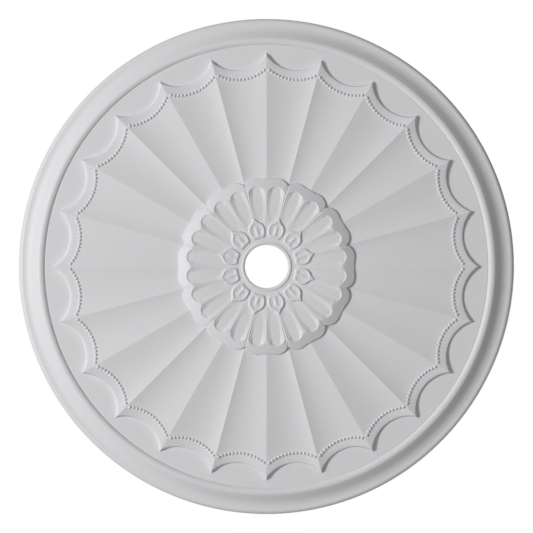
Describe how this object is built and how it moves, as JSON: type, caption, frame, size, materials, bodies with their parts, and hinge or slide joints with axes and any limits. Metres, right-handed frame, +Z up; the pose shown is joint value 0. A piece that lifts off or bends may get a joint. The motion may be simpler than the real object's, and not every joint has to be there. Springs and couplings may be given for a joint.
{
  "type": "ceiling rose",
  "caption": "Round moulded ceiling rose with a hollowed petal rosette, a ring of pointed buds round a lighting hole, and a fluted fan with a scalloped edge.",
  "frame": {"origin": "middle of the flat back, which lies against the ceiling, on the axis of the lighting hole", "axes": "+Z up out of the back into the ceiling along the axis of the rose; the relief faces down, along -Z; a petal's middle line lies on -Y"},
  "size_m": [1.0199, 1.02, 0.0568],
  "materials": {
    "primed_foam": "rigid polyurethane foam with a matt white factory primer"
  },
  "bodies": {
    "root": {"ceiling_rose": "primed_foam"}
  },
  "joints": []
}
